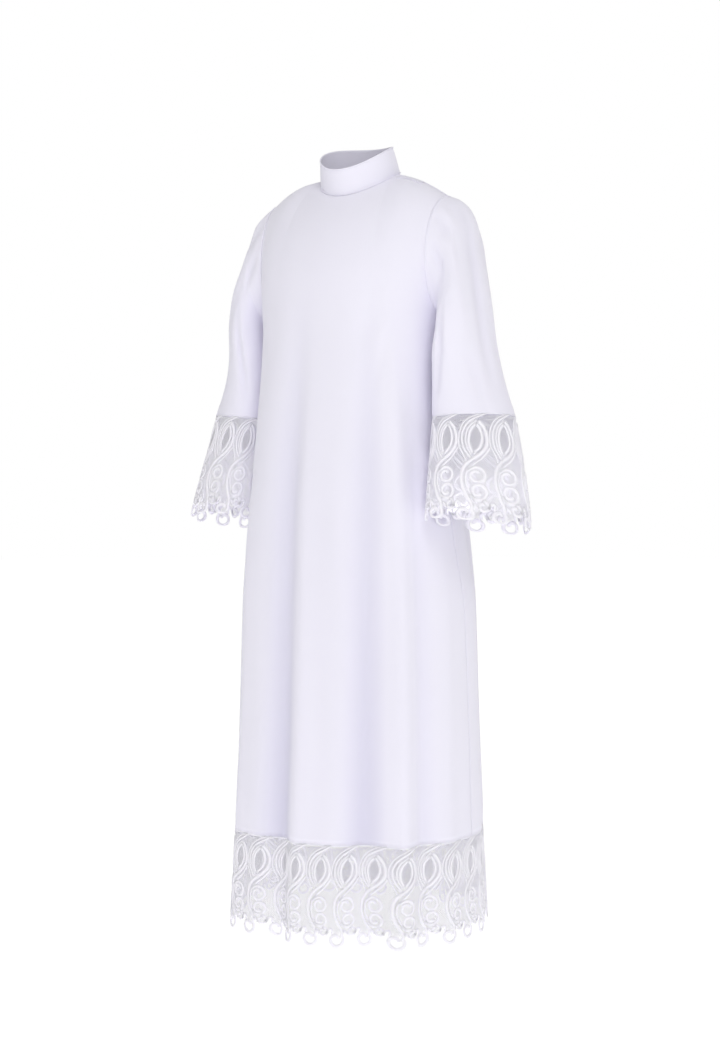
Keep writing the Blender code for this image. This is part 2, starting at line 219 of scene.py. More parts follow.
def neck_point(angle):
    cos, sin = circle(angle)
    x, y = NECK_HALF_WIDTH * cos, NECK_HALF_DEPTH * sin
    return np.stack([x, y, NECK_HEIGHT + NECK_TILT * y - NECK_DROP * y * y - SHOULDER_HEIGHT], -1)


def armhole_point(share, face):
    turn = np.pi * share
    middle, half = (ARMHOLE_TOP + UNDERARM_HEIGHT) / 2, (ARMHOLE_TOP - UNDERARM_HEIGHT) / 2
    x = ARMHOLE_X - ARMHOLE_HOLLOW * np.sin(turn)
    y = face * (ARMHOLE_HALF_DEPTH * np.sin(turn) + SEAM / 2) + SHOULDER_SEAM_Y * ease(share)
    return np.stack([x, y, middle - half * np.cos(turn) - SHOULDER_HEIGHT], -1)


def top_point(across, face):
    side = np.where(across > 0, 1.0, -1.0)
    first, last = SHOULDER_NECK_ANGLE, 180 - SHOULDER_NECK_ANGLE - (360 if face < 0 else 0)
    at_neck = neck_point(blend(first, last, (1 - np.clip(across / NECK_SHARE, -1, 1)) / 2))
    out = np.clip((np.abs(across) - NECK_SHARE) / (1 - NECK_SHARE), 0, 1)
    tip = armhole_point(1.0, face)
    tip = np.stack([side * tip[0], np.full_like(side, SHOULDER_SEAM_Y), np.full_like(side, tip[2])], -1)
    on_seam = blend(at_neck, tip, out[..., None])
    on_seam[..., 2] += SHOULDER_CROWN * np.sin(np.pi * out)
    on_seam[..., 1] += face * SEAM / 2
    return on_seam


def panel_angle(across, face):
    half = 90 - np.degrees(SEAM / 2 / ARMHOLE_X)
    return (90 - half * across) if face > 0 else (-90 + half * across)


def upper_point(across, up, face):
    across, up = np.broadcast_arrays(across, up)
    angle = panel_angle(across, face)
    low = body_point(angle, np.full(across.shape, UNDERARM_HEIGHT))
    high = top_point(across, face)
    roll, rise = 1 - np.cos(np.pi * up / 2), np.sin(np.pi * up / 2)
    neck = ease((NECK_REACH - np.abs(across)) / NECK_BLEND)
    inward = blend(roll, up**2.0, neck)[..., None]
    climb = blend(rise, blend(up, rise, NECK_CLIMB), neck)
    point = blend(low, high, inward)
    point[..., 2] = blend(low[..., 2], high[..., 2], climb)
    side = np.where(across > 0, 1.0, -1.0)
    edge = armhole_point(up, face)
    edge[..., 0] *= side
    side_low = body_point(panel_angle(side, face), np.full(side.shape, UNDERARM_HEIGHT))
    side_high = top_point(side, face)
    plain = blend(side_low, side_high, roll[..., None])
    plain[..., 2] = blend(side_low[..., 2], side_high[..., 2], rise)
    point = point + (edge - plain) * (np.abs(across) ** EDGE_HOLD)[..., None]
    height = blend(UNDERARM_HEIGHT, ARMHOLE_TOP, up)
    drop = fold_depth(angle, height) - fold_depth(angle, UNDERARM_HEIGHT)
    point[..., 1] -= face * drop * (1 - ease(up * FOLD_FADE))
    return point


print("neck front:", np.round(neck_point(-90.0), 3))

# %% [markdown]
# A sleeve is a stack of slanted ovals from the armhole to the lace, and the cuff carries the stack on as a
# bell. The wearer's right arm hangs a little further back than the left one, so its sections are shifted.

# %% Sizes of the sleeves
Section = namedtuple("Section", "outer_x outer inner_x inner half_depth middle_y sweep drop")
SLEEVE = [Section(*row) for row in (
    (0.1892, 1.503, 0.1892, 1.271, 0.0765, 0.004, 0.004, 0),
    (0.205, 1.4965, 0.1905, 1.268, 0.08, 0.008, 0.005, 0),
    (0.22, 1.482, 0.1925, 1.263, 0.083, 0.011, 0.006, 0),
    (0.233, 1.456, 0.1935, 1.256, 0.084, 0.011, 0.007, 0.001),
    (0.2455, 1.41, 0.193, 1.245, 0.084, 0.003, 0.008, 0.002),
    (0.263, 1.35, 0.192, 1.228, 0.0845, -0.011, 0.012, 0.003),
    (0.2765, 1.285, 0.19, 1.205, 0.0825, -0.017, 0.016, 0.004),
    (0.285, 1.225, 0.189, 1.174, 0.077, -0.017, 0.019, 0.004),
    (0.2965, 1.17, 0.189, 1.14, 0.073, -0.017, 0.022, 0.004),
    (0.3105, 1.122, 0.19, 1.108, 0.071, -0.019, 0.025, 0.004),
    (0.322, 1.09, 0.192, 1.084, 0.071, -0.021, 0.027, 0.004),
)]
CUFF = [Section(*row) for row in (
    (0.3221, 1.0897, 0.192, 1.0837, 0.071, -0.021, 0.027, 0.004),
    (0.335, 1.02, 0.1935, 1.019, 0.079, -0.025, 0.033, 0.008),
    (0.346, 0.95, 0.1955, 0.954, 0.088, -0.031, 0.039, 0.013),
    (0.355, 0.876, 0.199, 0.89, 0.095, -0.038, 0.045, 0.018),
)]
RIGHT_ARM_BACK = 0.014
RIGHT_ARM_OUT = 0.010
RIGHT_OUT_FROM = 0.375  # the share of the arm's length below which it stands out
HOLLOW_SECTIONS = 3  # how many sections it takes the armhole's hollow to fade out
SleeveFold = namedtuple("SleeveFold", "angle_first angle_last depth width first last")
SLEEVE_FOLDS = [SleeveFold(*row) for row in (
    (-8, -25, 0.006, 10, 1.5, 9),
    (-84, -90, 0.006, 9, 0.5, 4),
    (-89, -130, 0.006, 10, 4.5, 9),
    (-50, -55, -0.004, 14, 1, 8),
    (40, 32, 0.006, 13, 1, 9.5),
    (100, 88, 0.005, 13, 1, 8),
    (68, 60, -0.004, 12, 2, 9),
)]
Flute = namedtuple("Flute", "angle depth width")
FLUTES = [Flute(*row) for row in (
    (-33, 0.01, 10),
    (-12, -0.005, 12),
    (-62, -0.004, 14),
    (-104, 0.006, 13),
    (42, 0.009, 14),
    (78, -0.005, 14),
    (120, 0.007, 14),
)]


# %% Points on a sleeve and its cuff
def arm_sections(table, side):
    """The sections of one arm as rows of numbers."""
    rows = np.array(table)
    if side < 0:
        down = (SHOULDER_HEIGHT - rows[:, 1]) / (SHOULDER_HEIGHT - CUFF[-1].outer)
        rows[:, 5] += RIGHT_ARM_BACK * np.sin(np.pi * np.clip(down, 0, 1))
        rows[:, 0] += RIGHT_ARM_OUT * ease((down - RIGHT_OUT_FROM) / (1 - RIGHT_OUT_FROM))
    return rows


def along_sections(rows, place):
    """The sections' numbers at places between them, on a smooth curve."""
    last = len(rows) - 1
    low = np.clip(np.floor(place).astype(int), 0, last - 1)
    share = (place - low)[..., None]
    before, after = rows[np.maximum(low - 1, 0)], rows[np.minimum(low + 2, last)]
    return smooth_between(before, rows[low], rows[low + 1], after, share)


def arm_point(table, side, angle, place, depth=0.0, hollow=0.0):
    angle, place = np.broadcast_arrays(angle, np.asarray(place, float))
    section = along_sections(arm_sections(table, side), place)
    outer_x, outer, inner_x, inner, half_depth, middle_y, sweep, drop = np.moveaxis(section, -1, 0)
    cos, sin = circle(angle)
    reach_x, reach_z = (outer_x - inner_x) / 2, (outer - inner) / 2
    scale = 1 - depth / np.hypot(reach_x, reach_z)
    x = (outer_x + inner_x) / 2 + reach_x * cos * scale - hollow * np.abs(sin)
    y = middle_y + sweep * cos + (half_depth - depth) * sin
    z = (outer + inner) / 2 + reach_z * cos * scale - drop * sin
    return np.stack([side * x, y, z - SHOULDER_HEIGHT], -1)


def sleeve_fold_depth(angle, place):
    total = np.zeros(np.broadcast(angle, place).shape)
    for fold in SLEEVE_FOLDS:
        along = (place - fold.first) / (fold.last - fold.first)
        middle = blend(fold.angle_first, fold.angle_last, along)
        strength = np.sin(np.pi * np.clip(along, 0, 1))
        total = total + fold.depth * strength * np.exp(-((around(angle, middle) / fold.width) ** 2))
    return total


def sleeve_point(side, angle, place):
    hollow = ARMHOLE_HOLLOW * np.maximum(0.0, 1 - place / HOLLOW_SECTIONS)
    return arm_point(SLEEVE, side, angle, place, sleeve_fold_depth(angle, place), hollow)


def cuff_point(side, angle, down):
    """A point on the lace bell: down is 0 where the cloth ends and 1 at the lowest lobes."""
    total = np.zeros(np.broadcast(angle, down).shape)
    for flute in FLUTES:
        total = total + flute.depth * ease(down) * np.exp(-((around(angle, flute.angle) / flute.width) ** 2))
    return arm_point(CUFF, side, angle, down * (len(CUFF) - 1), total)


print("cuff edge, wearer's left:", np.round(cuff_point(1, 0.0, 1.0), 3))

# %% [markdown]
# ## Making a sheet
# Each piece of cloth is one grid of points with the real wall thickness added inwards. A sewn garment is
# never as even as its pattern, so the panels, the sleeves and the collar take small soft creases along their
# own normals. The creases fade towards the seams, where the stitching holds the cloth, and the same functions
# serve them all.


# %% A sheet from a grid of points
def unit(vector):
    return vector / np.maximum(np.linalg.norm(vector, axis=-1, keepdims=True), 1e-9)


def normals_of(grid, closed):
    """Outward normals of a grid whose columns run left to right seen from outside, rows downwards."""
    if closed:
        wide = np.concatenate([grid[:, -1:], grid, grid[:, :1]], axis=1)
        across = wide[:, 2:] - wide[:, :-2]
    else:
        across = np.gradient(grid, axis=1)
    return unit(np.cross(np.gradient(grid, axis=0), across))


def lengths_along(grid, axis):
    """Distances from the grid's first row or column, in metres."""
    steps = np.linalg.norm(np.diff(grid, axis=axis), axis=-1)
    start = np.zeros_like(np.take(steps, [0], axis=axis))
    return np.concatenate([start, np.cumsum(steps, axis=axis)], axis=axis)


def add_sheet(name, grid, closed=False, hollow=None):
    rows, columns = grid.shape[:2]
    mesh = bpy.data.meshes.new(name)
    index = np.arange(rows * columns).reshape(rows, columns)
    if closed:
        index = np.concatenate([index, index[:, :1]], axis=1)
    faces = np.stack([index[:-1, :-1], index[1:, :-1], index[1:, 1:], index[:-1, 1:]], -1).reshape(-1, 4)
    mesh.from_pydata(grid.reshape(-1, 3).tolist(), [], faces.tolist())
    looped = np.concatenate([grid, grid[:, :1]], axis=1) if closed else grid
    middle_row = looped[rows // 2]
    across = lengths_along(middle_row[None], 1)[0]
    down = lengths_along(looped, 0)
    u = np.broadcast_to(across, looped.shape[:2])
    uv = np.stack([u, -down], -1)
    loops = np.stack([uv[:-1, :-1], uv[1:, :-1], uv[1:, 1:], uv[:-1, 1:]], -2).reshape(-1, 2)
    layer = mesh.uv_layers.new(name="cloth")
    layer.data.foreach_set("uv", loops.astype(np.float32).ravel())
    # painted shade: hollow holds 0 to 1, how far the cloth's colour darkens to the fold tone
    hollow = np.zeros((rows, columns)) if hollow is None else np.clip(hollow, 0, 1)
    tone = mesh.attributes.new("hollow", "FLOAT", "POINT")
    tone.data.foreach_set("value", hollow.astype(np.float32).ravel())
    mesh.shade_smooth()
    sheet = link_object(name, mesh)
    solidify = sheet.modifiers.new("wall", "SOLIDIFY")
    solidify.thickness = CLOTH
    solidify.offset = -1
    print(name, "sheet:", len(faces), "faces,", round(float(across[-1]), 3), "m wide at its middle row")
    return sheet


# %% Soft creases
Crease = namedtuple("Crease", "x0 y0 x1 y1 bow depth width")  # ends, sideways bow, depth and half-width
TAPER = 0.7  # below 1, a crease keeps its depth nearly to its ends
SLANT = 0.35  # below 1, soft waves run down the cloth more than across it


def crease_depth(x, y, creases):
    """Depth of the listed creases at flat places x, y: each is a soft trough from one end to the other."""
    total = np.zeros(np.broadcast(x, y).shape)
    for crease in creases:
        run = np.array([crease.x1 - crease.x0, crease.y1 - crease.y0])
        length = np.hypot(*run)
        run = run / length
        along = ((x - crease.x0) * run[0] + (y - crease.y0) * run[1]) / length
        aside = (x - crease.x0) * run[1] - (y - crease.y0) * run[0]
        inside = np.clip(along, 0, 1)
        aside = aside - crease.bow * np.sin(np.pi * inside)
        past = np.maximum(np.abs(along - 0.5) - 0.5, 0) * length
        taper = np.sin(np.pi * inside) ** TAPER * np.exp(-((past / crease.width) ** 2))
        total = total + crease.depth * taper * np.exp(-((aside / crease.width) ** 2))
    return total


def soft_waves(x, y, seed, size, count=14):
    """A smooth uneven field between about -1 and 1, made of a few long waves."""
    draw = np.random.default_rng(seed)
    total = np.zeros(np.broadcast(x, y).shape)
    for _ in range(count):
        turn, phase = draw.uniform(0, 2 * np.pi, 2)
        length = size * draw.uniform(0.6, 1.6)
        total = total + np.sin(2 * np.pi * (x * np.cos(turn) + SLANT * y * np.sin(turn)) / length + phase)
    return total / np.sqrt(count)


print("creases ready")

# %% [markdown]
# ## Finishes
# The cloth is a smooth plain weave, cool white, with a faint nap that catches light at the edges. Its threads
# cross at about half a millimetre, so the weave is a bump that follows the sheet's own UV map in metres. Two
# effects are groups, because several finishes use them: the weave itself, and a soft unevenness of tone.

# %% Groups shared by the finishes
CLOTH_WHITE = (0.872, 0.853, 0.962, 1.0)
CLOTH_SHADE = (0.846, 0.827, 0.942, 1.0)
CLOTH_PAINTED_SHADE = (0.690, 0.675, 0.800, 1.0)  # painted shade: the darker tone given to the depth of a fold, where cloth lights cloth
PAINTED_SHADE_DEPTH = 0.028  # a fold this deep takes that painted shade all through
LACE_WHITE = (0.930, 0.915, 0.990, 1.0)
LACE_SHADE = (0.890, 0.873, 0.965, 1.0)
THREAD = 0.00045
SLUB_STRETCH = (1400, 60, 1)  # a slub is much longer than it is wide
THINNESS = 0.002  # how far light spreads inside the cloth, which is thin enough to let some through


def new_group(name, inputs, outputs, kind="Shader"):
    tree = bpy.data.node_groups.new(name, kind + "NodeTree")
    for label, socket_kind, *value in inputs:
        socket = tree.interface.new_socket(name=label, in_out="INPUT", socket_type="NodeSocket" + socket_kind)
        if value:
            socket.default_value = value[0]
    for label, socket_kind in outputs:
        tree.interface.new_socket(name=label, in_out="OUTPUT", socket_type="NodeSocket" + socket_kind)
    return tree, tree.nodes.new("NodeGroupInput").outputs, tree.nodes.new("NodeGroupOutput").inputs


def feed(tree, node, values):
    """Fills a node's inputs by label or number: a socket is linked, anything else is set."""
    for label, value in values.items():
        if isinstance(value, bpy.types.NodeSocket):
            tree.links.new(value, node.inputs[label])
        else:
            node.inputs[label].default_value = value
    return node


def new_node(tree, kind, values):
    return feed(tree, tree.nodes.new("ShaderNode" + kind), values)


def maths(tree, operation, *values):
    node = new_node(tree, "Math", dict(enumerate(values)))
    node.operation = operation
    return node.outputs[0]


def mixed(tree, factor, first, second):
    node = tree.nodes.new("ShaderNodeMix")
    node.data_type = "RGBA"
    return feed(tree, node, {"Factor": factor, 6: first, 7: second}).outputs[2]


def plain_weave_group():
    """Threads crossing over and under, with slubs where a thread is thicker."""
    inputs = [("Cloth Place", "Vector"), ("Thread", "Float", THREAD), ("Slubs", "Float", 0.4)]
    tree, given, made = new_group("plain_weave", inputs, [("Height", "Float")])
    split = new_node(tree, "SeparateXYZ", {0: given["Cloth Place"]})
    waves = []
    for axis in range(2):
        turns = maths(tree, "DIVIDE", split.outputs[axis], given["Thread"])
        waves.append(maths(tree, "SINE", maths(tree, "MULTIPLY", turns, float(np.pi))))
    crossing = maths(tree, "MULTIPLY", *waves)
    stretch = new_node(tree, "Mapping", {"Vector": given["Cloth Place"], "Scale": SLUB_STRETCH})
    slub = new_node(tree, "TexNoise", {"Vector": stretch.outputs[0], "Scale": 1.0, "Detail": 2.0})
    slubs = maths(tree, "MULTIPLY", slub.outputs["Fac"], given["Slubs"])
    tree.links.new(maths(tree, "ADD", maths(tree, "MULTIPLY", crossing, 0.5), slubs), made["Height"])
    return tree


def soft_tone_group():
    """A slow change between two close tones."""
    inputs = [("Place", "Vector"), ("Size", "Float", 3.0)]
    inputs += [("Light", "Color", CLOTH_WHITE), ("Deep", "Color", CLOTH_SHADE)]
    tree, given, made = new_group("soft_tone", inputs, [("Color", "Color")])
    noise = new_node(tree, "TexNoise", {"Vector": given["Place"], "Scale": given["Size"], "Detail": 3.0})
    tree.links.new(mixed(tree, noise.outputs["Fac"], given["Light"], given["Deep"]), made["Color"])
    return tree


plain_weave = plain_weave_group()
soft_tone = soft_tone_group()
print("groups:", plain_weave.name, soft_tone.name)

# %% [markdown]
# The cloth finish mixes two whites that are very close, so a large panel isn't one flat tone. Sheen gives the
# light fuzz of a polyester blend. Constant values sit on the shader's own sockets.


# %% Cloth and lace finishes
def place_group(tree, group, values):
    node = tree.nodes.new("ShaderNodeGroup")
    node.node_tree = group
    return feed(tree, node, values)


def new_material(name, looks):
    material = bpy.data.materials.new(name)
    material.use_nodes = True
    tree = material.node_tree
    return material, tree, feed(tree, tree.nodes["Principled BSDF"], looks)


def start_finish(name, roughness, sheen, glow):
    """A material, its tree and shader, and the place in it as a socket."""
    nap = {"Sheen Weight": sheen, "Sheen Roughness": 0.5}
    spread = {"Subsurface Weight": glow, "Subsurface Radius": (1.0, 1.0, 1.0), "Subsurface Scale": THINNESS}
    looks = {"Roughness": roughness, "Specular IOR Level": 0.25, **nap, **spread}
    material, tree, surface = new_material(name, looks)
    return material, tree, surface, tree.nodes.new("ShaderNodeTexCoord").outputs["Object"]


def add_bump(tree, surface, height, distance, strength):
    bump = new_node(tree, "Bump", {"Height": height, "Distance": distance, "Strength": strength})
    tree.links.new(bump.outputs["Normal"], surface.inputs["Normal"])


def cloth_finish(name, slubs):
    material, tree, surface, place = start_finish(name, roughness=0.82, sheen=0.18, glow=0.35)
    tone = place_group(tree, soft_tone, {"Place": place, "Size": 2.6})
    # painted shade: the colour darkens to the fold tone as far as the sheet's hollow attribute says
    hollow = tree.nodes.new("ShaderNodeAttribute")
    hollow.attribute_name = "hollow"
    with_painted_shade = mixed(tree, hollow.outputs["Fac"], tone.outputs["Color"], CLOTH_PAINTED_SHADE)
    tree.links.new(with_painted_shade, surface.inputs["Base Color"])
    uv = tree.nodes.new("ShaderNodeUVMap")
    uv.uv_map = "cloth"
    threads = {"Cloth Place": uv.outputs["UV"], "Thread": THREAD, "Slubs": slubs}
    weave = place_group(tree, plain_weave, threads)
    add_bump(tree, surface, weave.outputs["Height"], distance=0.00012, strength=0.35)
    return material


def thread_finish(name, light, deep, twist_size):
    """Mercerised thread: brighter than the cloth, wound in a fine slant."""
    material, tree, surface, place = start_finish(name, roughness=0.62, sheen=0.10, glow=0.6)
    tone = place_group(tree, soft_tone, {"Place": place, "Size": 55.0, "Light": light, "Deep": deep})
    tree.links.new(tone.outputs["Color"], surface.inputs["Base Color"])
    turn = new_node(tree, "Mapping", {"Vector": place, "Rotation": (0.5, 0.8, 0.6)})
    wind = new_node(tree, "TexWave", {"Vector": turn.outputs[0], "Scale": twist_size, "Distortion": 3.0})
    add_bump(tree, surface, wind.outputs["Fac"], distance=0.0002, strength=0.22)
    return material


white_cloth = cloth_finish("white_cloth", slubs=0.45)
lace_thread = thread_finish("lace_thread", LACE_WHITE, LACE_SHADE, twist_size=900.0)
sewing_thread = thread_finish("sewing_thread", CLOTH_WHITE, CLOTH_SHADE, twist_size=1500.0)
print("finishes:", [material.name for material in (white_cloth, lace_thread, sewing_thread)])

# %% [markdown]
# ## The body
# The front and the back are cut in one length each from the shoulder to the lace. The long folds that fall
# from the yoke are part of the form; here each panel also gets its own smaller creases, deeper low down where
# the cloth hangs free, and none where it is sewn.

# %% Front and back
PANEL_COLUMNS = 190
UPPER_ROWS, LOWER_ROWS = 46, 92
MEETING_ROWS, MEETING_PASSES = 14, 120  # rows on each side that ease into each other, and how often
MEETING_HOLD = 0.12  # share of half a panel's width, at each side, over which they stay as they are
HANG_TOP, HANG_FULL = 1.35, 0.45  # the heights between which the cloth comes to hang free
PANEL_WAVE, PANEL_WAVE_HUNG, PANEL_WAVE_SIZE = 0.0003, 0.0009, 0.16
PAINTED_SHADE_FADE = 0.12  # the painted shade in the folds fades out over this height above the underarm
FRONT_CREASES = [Crease(*row) for row in (
    (0.165, 1.285, 0.115, 1.13, 0.01, 0.003, 0.012),
    (0.15, 1.3, 0.06, 1.19, 0.012, 0.0018, 0.016),
    (-0.168, 1.275, -0.12, 1.12, -0.01, 0.0028, 0.013),
    (-0.14, 1.32, -0.095, 1.21, -0.008, 0.0016, 0.015),
    (0.12, 1.4, 0.095, 1.18, 0.006, 0.0022, 0.018),
    (-0.02, 1.21, -0.055, 0.86, -0.01, 0.0016, 0.02),
    (0.06, 1.08, 0.085, 0.64, 0.012, -0.0022, 0.022),
    (-0.085, 0.98, -0.09, 0.52, 0.01, 0.002, 0.018),
    (0.02, 0.7, 0.03, 0.34, -0.008, 0.0022, 0.02),
    (0.165, 0.9, 0.175, 0.42, 0.01, 0.0024, 0.016),
    (-0.175, 0.86, -0.185, 0.4, -0.008, 0.002, 0.015),
)]
BACK_CREASES = [Crease(*row) for row in (
    (0.16, 1.28, 0.09, 1.16, 0.012, 0.003, 0.013),
    (-0.158, 1.288, -0.1, 1.15, -0.012, 0.0026, 0.014),
    (0.07, 1.43, 0.11, 1.33, 0.006, 0.0016, 0.015),
    (-0.05, 1.12, -0.065, 0.7, 0.012, 0.0024, 0.02),
    (0.045, 1, 0.05, 0.56, -0.01, -0.0022, 0.022),
    (0.12, 0.88, 0.13, 0.4, 0.008, 0.0026, 0.018),
    (-0.13, 0.82, -0.14, 0.38, -0.01, 0.0022, 0.016),
)]


def sewn_fade(columns, rows, side=0.06, top=0.05, bottom=0.03):
    """0 on the sewn edges of a grid and 1 away from them."""
    across = np.linspace(0, 1, columns)
    down = np.linspace(0, 1, rows)[:, None]
    across = np.minimum(across, 1 - across) / side
    return ease(across) * ease(down / top) * ease((1 - down) / bottom)


def eased_meeting(grid):
    """Rounds off the slight bend at the underarm's level, except along the sewn sides."""
    row = np.arange(len(grid))[:, None]
    near = ease(1 - np.abs(row - (UPPER_ROWS - 1)) / MEETING_ROWS)
    hold = ease((1 - np.abs(np.linspace(-1, 1, grid.shape[1]))) / MEETING_HOLD)
    share = (near * hold)[1:-1, :, None] * 0.5
    for _ in range(MEETING_PASSES):
        middle = (grid[:-2] + grid[2:]) / 2
        grid[1:-1] += (middle - grid[1:-1]) * share
    return grid


def panel_columns(face):
    """Places across a panel, from left to right as seen from outside."""
    return np.linspace(-1, 1, PANEL_COLUMNS)[None] * (-1 if face > 0 else 1)


def panel_grid(face):
    columns = panel_columns(face)
    upper = upper_point(columns, np.linspace(1, 0, UPPER_ROWS)[:, None], face)
    heights = np.linspace(UNDERARM_HEIGHT, HEM_LACE_HEIGHT + SEAM / 4, LOWER_ROWS + 1)[1:, None]
    lower = body_point(panel_angle(columns, face), heights)
    return eased_meeting(np.concatenate([upper, lower]))


def panel_sheet(name, face, creases, seed):
    """A panel moved in along its normal by its creases, with painted shade in the depth of its folds."""
    grid = panel_grid(face)
    x, height = grid[..., 0], grid[..., 2] + SHOULDER_HEIGHT
    hang = ease((HANG_TOP - height) / (HANG_TOP - HANG_FULL))
    waves = soft_waves(x, height, seed, PANEL_WAVE_SIZE) * (PANEL_WAVE + PANEL_WAVE_HUNG * hang)
    depth = (crease_depth(x, height, creases) + waves) * sewn_fade(PANEL_COLUMNS, len(grid))
    # painted shade from the folds' depth, gone above the underarm
    hollow = fold_depth(panel_angle(panel_columns(face), face), height) / PAINTED_SHADE_DEPTH
    hollow = hollow * (1 - ease((height - UNDERARM_HEIGHT) / PAINTED_SHADE_FADE))
    return add_sheet(name, grid - normals_of(grid, False) * depth[..., None], hollow=hollow)


body_front = panel_sheet("robe_front", -1, FRONT_CREASES, 11)
body_back = panel_sheet("robe_back", 1, BACK_CREASES, 12)

# %% [markdown]
# ## Sleeves
# A set-in sleeve has its own creases: dragging lines that start at the underarm and the elbow, and long soft
# ones down the outside. They are placed by the angle round the sleeve and the place down it.

# %% Sleeves
SLEEVE_COLUMNS, SLEEVE_ROWS = 112, 96
SECTION_TURN = 9.0  # degrees round the sleeve that are about as long as one section down it
SLEEVE_WAVE, SLEEVE_WAVE_SIZE = 0.0009, 2.2
SLEEVE_FADES = (0.08, 0.05)  # shares of its length over which the creases fade, at its top and its end
SLEEVE_CREASES = [Crease(*row) for row in (
    (-50, 0.2, -56, 3.2, 0, 0.003, 6),
    (-34, 0.1, -42, 2.6, 0, -0.002, 5),
    (-70, 1.6, -40, 4.2, 6, 0.003, 7),
    (-110, 4.6, -55, 6.2, 8, 0.0026, 8),
    (-150, 5.2, -90, 7, 6, 0.003, 8),
    (-30, 5.8, 15, 8, 8, 0.0022, 9),
    (-60, 7, -48, 9.6, 4, 0.0024, 8),
    (20, 2, 28, 6, 5, 0.0026, 9),
    (70, 3.4, 110, 6.2, 8, 0.0032, 9),
    (120, 5, 75, 8.4, -6, 0.0028, 9),
    (150, 2.4, 120, 4.6, -6, 0.003, 8),
)]


def in_sections(crease):
    """A crease given in degrees and sections, with both in sections."""
    x0, x1, bow, width = (value / SECTION_TURN for value in (crease.x0, crease.x1, crease.bow, crease.width))
    return crease._replace(x0=x0, x1=x1, bow=bow, width=width)


def sleeve_sheet(name, side, seed):
    angles = (np.linspace(-180, 180, SLEEVE_COLUMNS, endpoint=False) * side)[None]
    places = np.linspace(0, len(SLEEVE) - 1, SLEEVE_ROWS)[:, None]
    grid = sleeve_point(side, angles, places)
    creases = [in_sections(crease) for crease in SLEEVE_CREASES]
    crease = crease_depth(around(angles, 0.0) / SECTION_TURN, places, creases)
    round_x, round_y = circle(angles)
    crease = crease + SLEEVE_WAVE * soft_waves(round_x + 2 * round_y, places / 3, seed, SLEEVE_WAVE_SIZE)
    down = np.linspace(0, 1, SLEEVE_ROWS)[:, None]
    fade = ease(down / SLEEVE_FADES[0]) * ease((1 - down) / SLEEVE_FADES[1])
    # painted shade from the depth of the sleeve's folds and creases
    hollow = (sleeve_fold_depth(angles, places) + crease) / PAINTED_SHADE_DEPTH * fade
    grid = grid - normals_of(grid, True) * (crease * fade)[..., None]
    return add_sheet(name, grid, closed=True, hollow=hollow)


sleeve_left = sleeve_sheet("robe_sleeve_left", 1, 21)
sleeve_right = sleeve_sheet("robe_sleeve_right", -1, 22)

# %% [markdown]
# ## Collar and placket
# The collar is a doubled strip that stands round the neck and laps over itself on the left shoulder, where
# the robe opens. The short placket beside it hides that opening.

# %% Collar and placket
COLLAR_HEIGHT = 0.048
COLLAR_TOP_HALF_WIDTH = 0.069
COLLAR_TOP_HALF_DEPTH = 0.068
COLLAR_LEAN = 0.015
COLLAR_LAP_ANGLE = 24
COLLAR_LAP = 14
LAP_OVER = 0.0018  # how far out the upper end of the lap stands
LAP_UNDER = 0.0004  # and how far in the lower end lies
LAP_RISE_START, LAP_RISE, LAP_FALL = 14, 12, 8  # degrees before the lap, and over which each end moves
PADDING, COLLAR_WAVE = 0.0006, 0.0003  # the doubled cloth is a little fuller in its middle, and uneven
PLACKET_END = 0.89
PLACKET_ACROSS = (0.4667, 0.7333)
PLACKET_GAP = 0.0003  # between the placket's own wall and the panel


def collar_point(angle, up, move=0.0):
    low = neck_point(angle)
    width = blend(NECK_HALF_WIDTH, COLLAR_TOP_HALF_WIDTH, up) + move
    depth = blend(NECK_HALF_DEPTH, COLLAR_TOP_HALF_DEPTH, up) + move
    cos, sin = circle(angle)
    y = depth * sin - COLLAR_LEAN * up
    height = np.broadcast_to(low[..., 2] + SEAM + COLLAR_HEIGHT * up, y.shape)
    return np.stack([width * cos, y, height], -1)


def collar_move(angle):
    over = ease((angle - COLLAR_LAP_ANGLE + LAP_RISE_START) / LAP_RISE)
    under = 1 - ease((angle - COLLAR_LAP_ANGLE + 360) / LAP_FALL)
    return LAP_OVER * over - LAP_UNDER * under


def collar_grid(columns=200, rows=22):
    angles = np.linspace(COLLAR_LAP_ANGLE - 360, COLLAR_LAP_ANGLE + COLLAR_LAP, columns)[None]
    up = np.linspace(1, 0, rows)[:, None]
    grid = collar_point(angles, up, collar_move(angles))
    padded = PADDING * np.sin(np.pi * up) ** 0.6 + COLLAR_WAVE * soft_waves(angles / 40, up, 31, 1.4)
    return grid + normals_of(grid, False) * (padded * sewn_fade(columns, rows, 0.02, 0.1, 0.1))[..., None]


def over_front(across, up, lift, step=0.01):
    """Points over the front panel, moved out along its normal."""
    here = upper_point(across, up, -1)
    below, beside = upper_point(across, up - step, -1), upper_point(across + step, up, -1)
    return here + unit(np.cross(below - here, beside - here)) * lift


def placket_grid(columns=36, rows=14):
    across = np.linspace(*PLACKET_ACROSS, columns)[None]
    return over_front(across, np.linspace(1.0, PLACKET_END, rows)[:, None], CLOTH + PLACKET_GAP)


collar = add_sheet("robe_collar", collar_grid())
placket = add_sheet("robe_placket", placket_grid())
for sheet in (body_front, body_back, sleeve_left, sleeve_right, collar, placket):
    sheet.data.materials.append(white_cloth)

# %% [markdown]
# ## Seams
# Two things follow a path on this robe: the thin rounded ridge of a pressed seam, and the row of small
# stitches beside it. Geometry Nodes make both, one tree for each: a ridge is a curve with a round profile,
# and a stitch is one small grain set at even steps along a curve and turned to lie along it.


